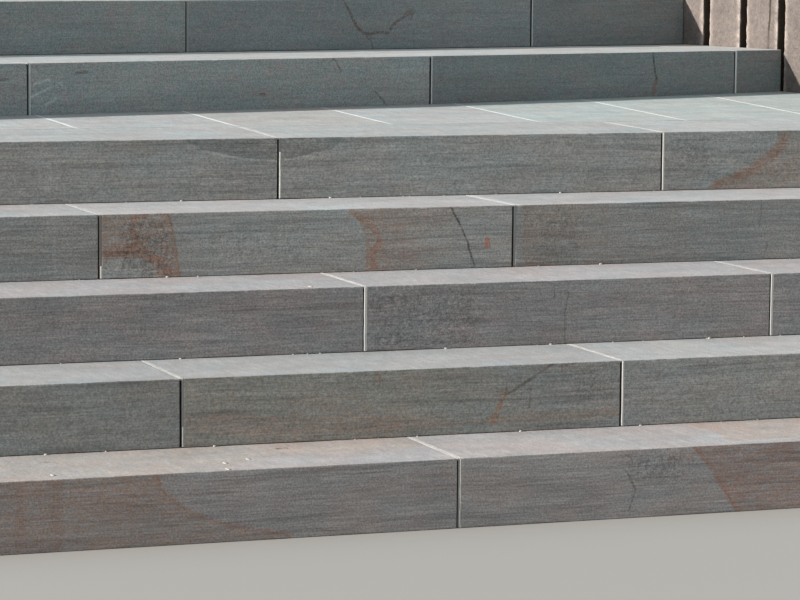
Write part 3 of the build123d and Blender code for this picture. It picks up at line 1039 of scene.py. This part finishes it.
def wall_shading(place, out, low, high, seed):
    """How much the painted shade in the gaps and the painted highlights by the arrises change a stone's tone
    at each point.
    """
    # Painted shade deep in the gaps between the stones
    gap_shade = np.clip((place[:, 0] - low[0] - GAP_SHADE_START) / GAP_SHADE_FULL, 0, 1)
    gap_shade *= np.clip((high[0] - GAP_SHADE_BACK - place[:, 0]) / GAP_SHADE_FADE, 0, 1)
    gap_shade *= np.clip((np.abs(out[:, 1]) - 0.6) / 0.25, 0, 1)
    # Painted highlight on the front faces beside the side arrises
    from_arris = np.minimum(place[:, 1] - low[1], high[1] - place[:, 1])
    highlight = np.clip(1.4 - from_arris / HIGHLIGHT_REACH, 0, 1) * (out[:, 0] < -0.2)
    highlight *= 0.2 + noise(place * 75.0, seed + 9)
    return (1 - gap_shade[:, None] * (1 - GAP_PAINTED_SHADE)) * (1 + ARRIS_HIGHLIGHT * highlight[:, None])


def make_palisade(node, seed):
    """The upright rough stones, each within its CAD solid."""
    made = Build()
    lines = []
    draw = np.random.default_rng(seed)
    for number, solid in enumerate(sorted(solids(node, WALL), key=lambda group: group[:, 1].min())):
        low, high = solid.min(axis=0) + WALL_MARGIN, solid.max(axis=0) - WALL_MARGIN

        def wear(points):
            coarse, fine = noise(points * 38.0, seed + number), noise(points * 90.0, seed + number)
            return SHARPEST + ROUGHEST * coarse * fine

        points, out, faces, smooth = rounded_box(high - low, WALL_GRID, WALL_ARRIS, {"bottom", "right"}, wear)
        place = points + low
        relief = 0.0
        for more, cells in ((0, 9.0), (40, 45.0), (80, 110.0)):
            relief += WALL_RELIEF * noise(place * cells, seed + more + number)
        points = place - out * relief[:, None]
        points[:, 2] = np.maximum(points[:, 2], 0.0)
        tones = WALL_TONE * draw.uniform(*WALL_SPREAD) * wall_shading(place, out, low, high, seed)
        made.add(to_frame(points, WALL), faces, smooth, tones)
        far, side = from_line(place[:, [1, 2]], CRACK)
        lines.append(np.where(out[:, 0] < -0.5, far * side, NO_LINE))
    piece = made.piece(f"{node}_stones", WALL_STONE, "wall_stone", [node])
    paint(piece, "line", np.concatenate(lines))
    paint_all(piece, {"line_width": CRACK_WIDTH, "line_tone": CRACK_TONE})


make_palisade("lower_palisade", 300)
make_palisade("upper_palisade", 400)

# The concrete beds stay
for node in ("lower_concrete_bed", "upper_concrete_bed"):
    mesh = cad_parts[node].data
    mesh.materials.clear()
    mesh.materials.append(CONCRETE)

# Studio floor
FLOOR_HALF, FLOOR_TONE = 150.0, (0.425, 0.405, 0.385)
floor_mesh = bpy.data.meshes.new("floor")
corners = [(x * FLOOR_HALF, y * FLOOR_HALF, 0.0) for x, y in ((-1, -1), (1, -1), (1, 1), (-1, 1))]
floor_mesh.from_pydata(corners, [], [(0, 1, 2, 3)])
floor = put("floor", floor_mesh)
p = Paint("floor")
cloud = p.about_one(p.noise((0.8, 0.8, 0.8), 2, 0.5), 0.02)
floor_mesh.materials.append(p.finish(p.scaled(FLOOR_TONE, cloud), 0.9))

# Light: a low key along the risers, and a soft pale surround
KEY_HEIGHT, KEY_FRONT = math.radians(15.5), math.radians(0.3)


def sun(name, towards, energy, spread, colour):
    """A sun lamp that stands towards a direction, its spread in degrees."""
    data = bpy.data.lights.new(name, "SUN")
    data.energy, data.angle, data.color = energy, math.radians(spread), colour
    put(name, data).matrix_world = Vector(towards).to_track_quat("Z", "Y").to_matrix().to_4x4()


level = math.cos(KEY_HEIGHT)
key_towards = (-level * math.cos(KEY_FRONT), -level * math.sin(KEY_FRONT), math.sin(KEY_HEIGHT))
sun("key", key_towards, 6.6, 1.0, (1.0, 0.94, 0.87))
sun("fill", (-0.9, 0.0, 0.43), 0.85, 110.0, (0.9, 0.97, 1.0))
world = bpy.data.worlds.new("surround")
world.use_nodes = True
background = world.node_tree.nodes["Background"]
background.inputs["Color"].default_value = (0.83, 0.95, 1.0, 1.0)
background.inputs["Strength"].default_value = 0.45
bpy.context.scene.world = world
bpy.context.scene.view_settings.view_transform = "Standard"
